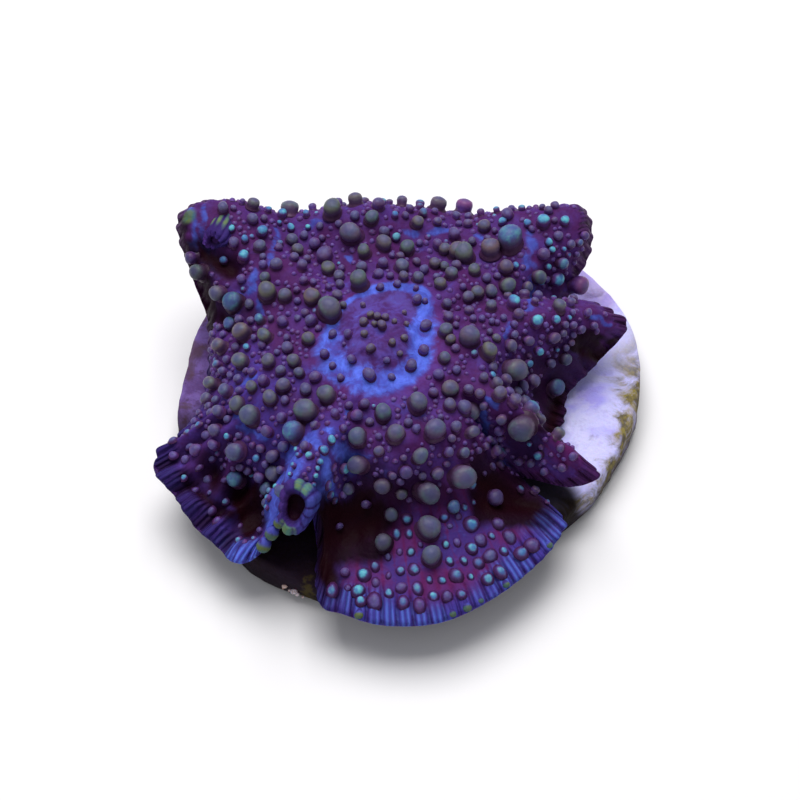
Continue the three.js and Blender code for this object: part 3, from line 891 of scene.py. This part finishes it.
TURQUOISE_VESICLES = (
    (3, 10.6, 0.3), (5, 11.9, 0.2), (10, 10.6, 0.45), (11, 11.9, 0.3), (12, 12.9, 0.2), (19, 9.4, 0.5),
    (236, 9.5, 0.2), (239, 10, 0.2), (240, 10.7, 0.2), (240, 11.2, 0.18), (247, 10, 0.24), (247, 10.4, 0.2),
    (247, 10.8, 0.2), (247, 11.2, 0.18), (236, 11.7, 0.22), (235, 12.3, 0.22), (235, 12.8, 0.2),
    (29, 12.5, 0.3), (29, 13.8, 0.5), (31, 13.3, 0.25), (33, 14.8, 0.2), (34, 14, 0.25), (35, 11.1, 0.25),
    (36, 14.1, 0.3), (38, 15.9, 0.35), (41, 14.7, 0.45), (44, 13.9, 0.3), (50, 13, 0.3), (85, 10.1, 0.25),
    (116, 11.7, 0.25), (118, 10.7, 0.2), (123, 11.4, 0.3), (123, 12.6, 0.35), (125, 12.1, 0.2),
    (126, 13.2, 0.25), (133, 12, 0.4), (139, 12.3, 0.3), (139, 13.5, 0.25), (144, 11.6, 0.4),
    (148, 12.9, 0.3), (178, 8.9, 0.25), (209, 11.5, 0.25), (221, 10.8, 0.3), (222, 11.8, 0.2),
    (247, 9.2, 0.3), (248, 8.4, 0.3), (323, 9.7, 0.5), (328, 11.6, 0.2), (328, 12.4, 0.3),
    (342, 7.7, 0.25), (359, 9.8, 0.3),
)
TEAL_VESICLES = (
    (31, 14.4, 0.4), (43, 12, 0.88), (159, 10.7, 0.7), (166, 8.3, 0.35), (166, 10.7, 0.45),
    (219, 12.5, 0.6), (230, 8.5, 0.7), (295, 11.2, 0.45), (335, 10.7, 0.6), (358, 11.7, 0.6),
)
PINK_VESICLES = ((66, 14, 0.6), (29, 15.7, 0.72))
FLAP_KNOBS = ((265, 15.6, 0.45), (266, 14.5, 0.45), (279, 11.2, 0.35), (291, 11.6, 0.3), (298, 12.6, 0.5))
RING_VESICLES = (
    (17, 3.1, 0.4), (44, 4.1, 0.2), (50, 3.8, 0.35), (59, 4.5, 0.2), (76, 4.4, 0.25), (91, 4, 0.25),
    (175, 3.2, 0.3), (181, 2.1, 0.3), (194, 2.5, 0.15), (198, 3.9, 0.3), (213, 3.8, 0.25),
    (224, 2.6, 0.3), (229, 4, 0.25), (256, 3.1, 0.45), (281, 2.1, 0.25), (283, 3.2, 0.25),
    (311, 3, 0.4), (340, 3, 0.35),
)
MOUTH_VESICLES = (
    (22, 1.8, 0.2), (42, 1.2, 0.2), (50, 2.4, 0.2), (75, 1.1, 0.25), (81, 0.5, 0.3), (101, 1.1, 0.25),
    (115, 2.8, 0.2), (118, 1.4, 0.25), (129, 0.7, 0.2), (148, 1.3, 0.3), (193, 1.1, 0.25),
    (245, 1.5, 0.3), (308, 1.2, 0.25), (308, 2, 0.2), (342, 1.6, 0.25),
)
rng = random.Random(8)
station_bearings = np.array([s[0] for s in STATIONS] + [STATIONS[0][0] + 360], float)
OVERS = np.linspace(0, 1, 201)


def turn_at(bearing):
    """The turn at which the skin lies at a bearing."""
    wanted = bearing if bearing >= STATIONS[0][0] else bearing + 360
    return float(np.interp(wanted, station_bearings, np.arange(len(STATIONS) + 1)) / len(STATIONS))


def over_at(turn, reach):
    """How far out over the skin a reach from the mouth lies."""
    line = skin_base(np.full(len(OVERS), turn), OVERS)
    reaches = np.maximum.accumulate(np.hypot(line[:, 0] - MOUTH[0], line[:, 1] - MOUTH[1]))
    return float(np.interp(reach, reaches, OVERS))


def over_inset(turn, inset):
    """How far out over the skin a distance from the margin lies."""
    line = skin_base(np.full(len(OVERS), turn), OVERS)
    steps = np.linalg.norm(np.diff(line, axis=0), axis=1)
    left = np.concatenate([np.cumsum(steps[::-1])[::-1], [0]])
    return float(np.interp(-inset, -left, OVERS))


def bulb_template(segments, rings, profile):
    """A small closed bulb of the given outline, foot down: profile is (radius, height) from foot to top."""
    levels = np.linspace(0, 1, len(profile))
    stops = [(level, *stop) for level, stop in zip(levels, profile)]
    bm, _, _ = laid_ball(segments, rings, lambda turn, row: turned(turn, *follow(stops, 1 - row)))
    mesh = bpy.data.meshes.new("bulb")
    bm.to_mesh(mesh)
    bm.free()
    points = np.array([v.co for v in mesh.vertices])
    faces = [tuple(p.vertices) for p in mesh.polygons]
    bpy.data.meshes.remove(mesh)
    return points, faces


VESICLE_NUMBERS = ("body", "cool", "cap", "warm", "pink", "knob", "seed")


def scattered(name, template, places, material, node):
    """Copies of a template joined into one piece. A place is a dict with foot, up, size and its numbers."""
    points, faces = template
    angle = np.arctan2(points[:, 1], points[:, 0])
    coords, polygons = [], []
    for index, place in enumerate(places):
        up = Vector(place["up"]).normalized()
        side = Vector(place["along"]) if "along" in place else up.orthogonal()
        side = (side - up * side.dot(up)).normalized()
        basis = np.array([side, up.cross(side), up])
        phase = 2 * math.pi * place["seed"]
        lumpy = 1 + 0.05 * np.cos(2 * angle + phase) + 0.03 * np.cos(3 * angle + 2 * phase + points[:, 2])
        shaped = points * np.asarray(place["size"]) * np.stack([lumpy, lumpy, np.ones(len(points))], 1)
        coords.append(shaped @ basis + np.asarray(place["foot"]))
        offset = index * len(points)
        polygons.extend(tuple(v + offset for v in face) for face in faces)
    mesh = bpy.data.meshes.new(name)
    mesh.from_pydata(np.concatenate(coords) * MM, [], polygons)
    mesh.update()
    shown(mesh, material, node)
    store(mesh, "height", np.tile((points[:, 2] - points[:, 2].min()) / np.ptp(points[:, 2]), len(places)))
    for key in VESICLE_NUMBERS:
        store(mesh, key, np.repeat([place.get(key, 0.0) for place in places], len(points)))
    store(mesh, "shade", np.repeat(shade(np.array([place["foot"] for place in places])), len(points)))


# the bubbles that already stand, by the square millimetre that their foot is in
grid = {}


def free(point, radius, spacing):
    """Whether a bubble of this radius clears those already placed."""
    column, line = int(point[0] // 1), int(point[1] // 1)
    for i in range(column - 2, column + 3):
        for j in range(line - 2, line + 3):
            for other, size in grid.get((i, j), ()):
                if math.dist(other, point) < (size + radius) * spacing:
                    return False
    return True


def stand(foot, up, radius, lift=0.25, **numbers):
    """A bubble with its foot on the skin, leaning a little towards the light."""
    grid.setdefault((int(foot[0] // 1), int(foot[1] // 1)), []).append((tuple(foot), radius))
    lean = np.array([rng.uniform(-0.12, 0.12), rng.uniform(-0.12, 0.12), lift])
    size = [radius * rng.uniform(*limits) for limits in ((0.93, 1.07), (0.93, 1.07), (0.9, 1.12))]
    return {"foot": foot, "up": up + lean, "size": size, "seed": rng.random(), **numbers}


def feet(turns, overs):
    """Where bubbles may stand: points on the skin and the directions they point in."""
    turns, overs = np.asarray(turns, float), np.asarray(overs, float)
    return skin_point(turns, overs), skin_normal(turns, overs)


def marked_feet(table):
    """Where the vesicles of a table stand: foot, direction and radius of each."""
    turns = [turn_at(bearing) for bearing, _, _ in table]
    overs = [over_at(turn, reach) for turn, (_, reach, _) in zip(turns, table)]
    return zip(*feet(turns, overs), [radius for _, _, radius in table])


LARGE, MEDIUM, LITTLE = 0.45, 0.24, 0.22
large_places, medium_places, small_places, pimple_places = [], [], [], []
MARKED = (
    (OLIVE_VESICLES, {"body": 1.0}), (TEAL_VESICLES, {"body": 1.0, "cool": 1.0, "cap": 0.35}),
    (PINK_VESICLES, {"body": 0.2, "pink": 1.0}), (PURPLE_VESICLES, {"body": 0.35, "cool": 0.2}),
    (TURQUOISE_VESICLES, {"body": 0.5, "cool": 0.8, "cap": 1.0}),
    (RING_VESICLES, {"body": 0.55, "cool": 0.5, "warm": 0.2}), (MOUTH_VESICLES, {"body": 1.0, "warm": 1.0}),
)
for table, numbers in MARKED:
    for foot, up, radius in marked_feet(table):
        kept = dict(numbers)
        kept["body"] = min(1.0, kept["body"] * rng.uniform(0.75, 1.1))
        kept["cool"] = min(1.0, kept.get("cool", 0.0) + rng.uniform(0.0, 0.35) + 0.2 * (foot[1] < -5))
        made = stand(foot, up, radius, **kept)
        kind = large_places if radius >= LARGE else medium_places if radius >= MEDIUM else small_places
        kind.append(made)

# candidate spots spread evenly over the skin, from which the fill-in bubbles are drawn
TRIALS = 60000
draw = np.random.default_rng(21)
trial_turn, trial_over = draw.random(TRIALS), draw.random(TRIALS)
step_turn = skin_base(trial_turn + 0.002, trial_over) - skin_base(trial_turn - 0.002, trial_over)
step_over = skin_base(trial_turn, np.clip(trial_over + 0.01, 0, 1)) - skin_base(trial_turn, trial_over - 0.01)
area = np.linalg.norm(np.cross(step_turn, step_over), axis=1)
kept_spots = draw.random(TRIALS) < area / np.percentile(area, 97) * 0.6
spot_turn, spot_over = trial_turn[kept_spots], trial_over[kept_spots]
spot_foot, spot_up = feet(spot_turn, spot_over)
spot_bearing, spot_reach = polar(spot_foot)
spot_inset = skin_inset(spot_turn, spot_over)
spot_streak = np.maximum(streaks(spot_foot), np.maximum(0.8 * hollows(spot_foot), 0.6 * shade(spot_foot)))
spot_flap = on_flap(spot_foot)
_, _, spot_outside = ring_zone(spot_foot)
spot_cool = coolness(spot_foot)
left_flap = band(spot_bearing, 199, 203, 228, 232) * smooth(spot_reach, 12.4, 13.2)

# low oval knobs on the flaps, in rows that run in from every other rib of the margin
knob_places = [stand(*marked, 0.05, body=0.6, cool=1.0, cap=1.0, knob=1.0)
               for marked in marked_feet(FLAP_KNOBS)]
# first and last bearing, least and greatest inset, radius, share with turquoise caps
FLAP_ROWS = ((252, 321, 1.35, 6.6, 0.43, 0.62), (199, 232, 1.3, 3.8, 0.33, 0.12))
for first, last, start, end, size, capped in FLAP_ROWS:
    for rib in range(RIBS):
        turn = float(np.interp(rib + 0.5, margin_ribs, margin_turn))
        foot = skin_base(np.array([turn]), np.array([1.0]))
        if not first < polar(foot)[0][0] < last:
            continue
        main = rib % 3 < 2
        inset = start + (0 if main else 0.6) + rng.uniform(-0.2, 0.2)
        while inset < end:
            over = over_inset(turn, inset)
            (foot,), (up,) = feet([turn + rng.uniform(-0.0006, 0.0006)], [over])
            radius = size * rng.uniform(0.7, 1.12) * (1.0 if main else 0.7) * (1.1 - 0.05 * inset)
            if free(foot, radius, 0.9) and shade(foot[None])[0] < 0.75:
                (ahead,), _ = feet([turn], [min(1.0, over + 0.02)])
                made = stand(
                    foot, up, radius, 0.05, body=rng.uniform(0.1, 0.6), cool=0.9, knob=1.0,
                    along=tuple(ahead - foot), cap=rng.uniform(0.5, 1.0) if rng.random() < capped else 0.0)
                made["size"][1] *= rng.uniform(0.75, 0.95)
                made["size"][2] *= 0.8
                knob_places.append(made)
            inset += rng.uniform(1.0, 1.3)

# each pass: smallest and largest radius, clearance, share of the spots tried, least inset
PASSES = ((0.32, 0.46, 1.10, 0.10, 1.9), (0.22, 0.31, 1.10, 0.20, 1.4), (0.13, 0.21, 1.08, 0.85, 1.0))
# smooth places that carry only their marked bubbles: place and radius
SMOOTH = ((12.6, 3.4, 1.0), (15.2, 2.4, 0.9), (10.2, 3.3, 0.8), (-13.4, 7.9, 1.7), (-14.6, 9.6, 1.5),
          (11.8, 9.2, 1.1))
smooth_spot = np.zeros(len(spot_turn), bool)
for x, y, size in SMOOTH:
    smooth_spot |= np.hypot(spot_foot[:, 0] - x, spot_foot[:, 1] - y) < size
spot_margin = spot_inset - 0.7 * (1 - edge_blue(spot_foot))
for least, most, spacing, tried, inner in PASSES:
    for i in range(len(spot_turn)):
        if rng.random() > tried or spot_outside[i] < 0.15 or spot_margin[i] < inner or smooth_spot[i]:
            continue
        if spot_streak[i] > 0.35 or spot_flap[i] > 0.5 or left_flap[i] > 0.5:
            continue
        radius = rng.uniform(least, most)
        if not free(spot_foot[i], radius, spacing):
            continue
        near_edge = 1 - min(1.0, spot_inset[i] / 4.5)
        body = min(1.0, 1.7 * radius * rng.uniform(0.7, 1.3))
        cool = rng.random() * 0.5 + 0.4 * spot_cool[i]
        has_cap = rng.random() < 0.05 + 0.35 * near_edge and 0.16 < radius < 0.4
        cap = rng.uniform(0.4, 0.9) if has_cap else 0.0
        made = stand(spot_foot[i], spot_up[i], radius, body=body, cool=cool, cap=cap)
        if radius >= LITTLE:
            medium_places.append(made)
        else:
            made["body"] *= 0.4
            pimple_places.append(made)

BULB = ((0, -0.45), (1.2, -0.3), (1.12, -0.02), (0.88, 0.2), (0.93, 0.6), (0.97, 0.95),
        (0.82, 1.3), (0.46, 1.54), (0, 1.62))
KNOB = ((0, -0.4), (1.3, -0.25), (1.26, 0.0), (1.0, 0.14), (0.92, 0.42), (0.7, 0.66), (0.38, 0.82), (0, 0.88))

bubble = Finish("bubble skin", Roughness=0.45, Subsurface_Weight=0.3, Subsurface_Scale=0.0007,
                Subsurface_Radius=(0.8, 0.5, 1.0), Specular_IOR_Level=0.2)
height_value = bubble.attribute("height")
body_value = bubble.attribute("body")
mottle = bubble.noise(1500, 4, 0.6)
grain = bubble.noise(6000, 2, 0.5)
olive_body = bubble.mix(bubble.attribute("seed"), (108, 90, 88), (88, 102, 86))
teal_body = bubble.mix(mottle.step(0.4, 0.65), (70, 74, 130), (70, 102, 122))
teal_mask = (bubble.attribute("cool") + (mottle - 0.5) * 0.5).clamped()
body_colour = bubble.mix(teal_mask, olive_body, teal_body)
lit_top = mottle.step(0.5, 0.66) * height_value.step(0.6, 0.9) * 0.45
body_colour = bubble.mix(lit_top, body_colour, (84, 112, 116))
warm_colour = bubble.mix(mottle.step(0.4, 0.6), (98, 84, 98), (104, 96, 90))
body_colour = bubble.mix(bubble.attribute("warm"), body_colour, warm_colour)
skin_tone = bubble.mix(mottle.step(0.4, 0.6), (96, 54, 116), (102, 70, 150))
whole = bubble.mix(body_value, skin_tone, body_colour)
whole = bubble.mix(bubble.attribute("pink"), whole, (122, 74, 126))
# Painted sheen: the top of each bubble is painted a darker blue-grey, for the light from above.
whole = bubble.mix(height_value.step(0.84, 1.0) * 0.6, whole, (70, 72, 124))
rise = (height_value + (mottle - 0.5) * 0.35).step(0.52, 0.90)
waist = bubble.mix(body_value.step(0.4, 1.0), skin_tone, (88, 66, 98))
waist = bubble.mix(bubble.attribute("knob") * 0.8, waist, (60, 26, 76))
bubble_colour = bubble.mix(rise, waist, whole)
foot_shade = 1 - (height_value + (mottle - 0.5) * 0.15).step(0.28, 0.52)
bubble_colour = bubble.mix(foot_shade * 0.75, bubble_colour, (64, 26, 62))
# The turquoise caps on the tops are partly the bubbles' own colour and partly a painted highlight.
turquoise = bubble.mix(mottle.step(0.4, 0.65), (66, 112, 168), (92, 176, 192))
cap_mask = bubble.attribute("cap") * (height_value + (mottle - 0.5) * 0.3).step(0.74, 0.95)
bubble_colour = bubble.mix(cap_mask, bubble_colour, turquoise)
bubble.set("Base Color", bubble.mix(
    bubble.attribute("shade") * (0.9 - 0.5 * height_value), bubble_colour, (28, 10, 22)))
bubble.set("Roughness", 0.26 + grain * 0.3)
bubble.bump(mottle * 0.8 + grain * 0.2, 0.0002, 0.35)

VESICLE_PIECES = (
    ("large_vesicles", bulb_template(16, 12, BULB), large_places),
    ("medium_vesicles", bulb_template(12, 8, BULB), medium_places),
    ("small_vesicles", bulb_template(8, 6, BULB), small_places),
    ("pimples", bulb_template(8, 7, KNOB), pimple_places),
    ("flap_knobs", bulb_template(12, 8, KNOB), knob_places),
)
for name, template, places in VESICLE_PIECES:
    scattered(name, template, places, bubble.material, "polyp")


# ---- Margin tips ----
# Short blunt tentacle tips, outgrowths of the flesh at the ends of some ribs of the wide front flap and
# of the front horn's left cheek. They are yellow-green on the ribs' own colour.
TIP = ((0, -1.0), (0.7, -0.8), (1.0, -0.2), (1.05, 0.3), (0.85, 0.7), (0.5, 0.92), (0, 1.0))
rib_turns = np.interp(np.arange(RIBS) + 0.5, margin_ribs, margin_turn)
tip_points = skin_point(rib_turns, np.ones(RIBS))
tip_inner = skin_point(rib_turns, np.full(RIBS, 0.95))
tip_places = []
tip_edge = edge_blue(tip_points)
for index in range(RIBS):
    outward = tip_points[index] - tip_inner[index]
    outward /= np.linalg.norm(outward)
    bearing = polar(tip_points[index:index + 1])[0][0]
    on_cheek = 236 < bearing < 242
    grown = rng.random() < 0.34 or 239 < bearing < 242
    if not grown or not (264 < bearing < 317 or on_cheek):
        continue
    size = (0.48 if on_cheek else 0.29) * rng.uniform(0.75, 1.15)
    tip_places.append({
        "foot": tip_points[index] - outward * 0.38 - np.array([0, 0, 0.08]), "up": outward,
        "seed": rng.random(), "size": (size, 0.9 * size, 1.1 * size), "cool": tip_edge[index],
    })
tip_skin = Finish("margin tip skin", Roughness=0.6, Subsurface_Weight=0.15, Subsurface_Scale=0.0005,
                  Subsurface_Radius=(0.6, 0.6, 1.0), Specular_IOR_Level=0.15)
tip_cloud = tip_skin.noise(1800, 3, 0.5)
tip_blue = tip_skin.mix(tip_cloud.step(0.4, 0.6), (54, 40, 112), (70, 76, 168))
tip_blue = tip_skin.mix(tip_skin.attribute("cool"), (62, 28, 62), tip_blue)
tip_green = tip_skin.mix(tip_cloud.step(0.35, 0.65), (66, 96, 96), (92, 104, 60))
tip_skin.set("Base Color", tip_skin.mix(tip_skin.attribute("height").step(0.3, 0.6), tip_blue, tip_green))
scattered("margin_tips", bulb_template(8, 6, TIP), tip_places, tip_skin.material, "polyp")


# ---- Caught grains ----
# A few pale grains of coral sand held by the film on the rim, in front and to the left.
GRAIN = ((0, -1.0), (0.8, -0.6), (1.0, 0.1), (0.7, 0.8), (0, 1.0))
# bearing from the disc's centre, height, size
GRAINS = (
    (240.9, 1.25, 0.24), (242.0, 0.85, 0.13), (243.2, 1.0, 0.3), (244.0, 0.75, 0.2), (245.3, 0.6, 0.13),
    (240.4, 0.8, 0.11),
)
grain_places = []
for bearing, level, size in GRAINS:
    angle = math.radians(bearing)
    reach = disc_radius(np.array([bearing]))[0]
    grain_places.append({
        "foot": np.array([reach * math.cos(angle), reach * math.sin(angle), level]), "seed": rng.random(),
        "up": (math.cos(angle), math.sin(angle), 0.5), "size": (size, 0.75 * size, 0.7 * size),
    })
sand = Finish("coral sand", Roughness=0.8, Subsurface_Weight=0.1, Subsurface_Scale=0.0004)
sand_tone = sand.mix(sand.attribute("seed"), (204, 172, 158), (226, 218, 232))
sand.set("Base Color", sand.mix(sand.noise(2400, 3, 0.6).step(0.4, 0.7), sand_tone, (136, 104, 92)))
grain_template = bulb_template(8, 6, GRAIN)
scattered("caught_grains", grain_template, grain_places, sand.material, "frag_disc")
